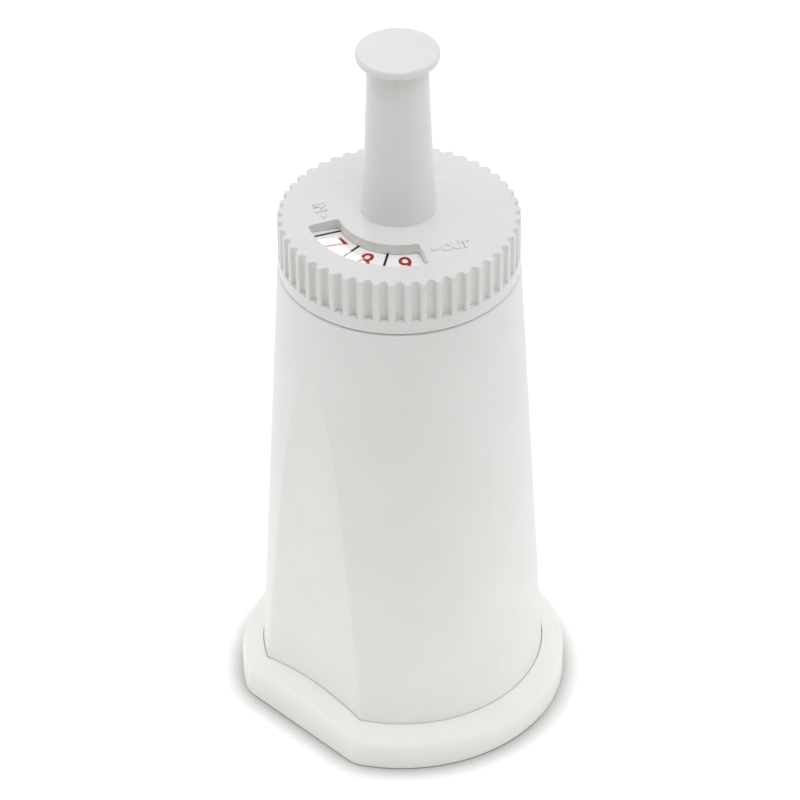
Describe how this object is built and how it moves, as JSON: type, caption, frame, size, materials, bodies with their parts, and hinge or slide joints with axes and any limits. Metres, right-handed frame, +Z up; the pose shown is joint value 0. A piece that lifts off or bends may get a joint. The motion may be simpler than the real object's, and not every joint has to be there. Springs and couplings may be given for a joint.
{
  "type": "coffee machine water filter",
  "caption": "Tapered water filter cartridge with a soft flanged foot and, on top, a fluted month dial with a window and an oval grip stem.",
  "frame": {"origin": "on the cartridge's axis at the mouth of the outlet port, level with the surface that the soft foot stands on", "axes": "+Z up along the cartridge's axis, -Y towards the flat side of the foot and the facet of the housing"},
  "size_m": [0.0558, 0.0525, 0.128],
  "materials": {
    "housing_white": "satin moulded polypropylene",
    "dial_grey": "pale grey, smooth moulded",
    "ring_white": "printed, glossy",
    "plate_white": "satin moulded polypropylene",
    "fleece": "needled fleece",
    "granules": "loose granules",
    "seal_soft": "soft off-white elastomer"
  },
  "bodies": {
    "cartridge": {"housing": "housing_white", "month_ring": "ring_white", "base_plate": "plate_white", "outlet_fleece": "fleece", "filter_media": "granules", "inlet_fleece": "fleece", "base_seal": "seal_soft"},
    "dial": {"date_dial": "dial_grey"}
  },
  "joints": [
    {"name": "dial_turn", "type": "hinge", "parent": "cartridge", "child": "dial", "pos_m": [0, 0, 0.0866], "axis": [0, 0, 1], "continuous": true}
  ]
}
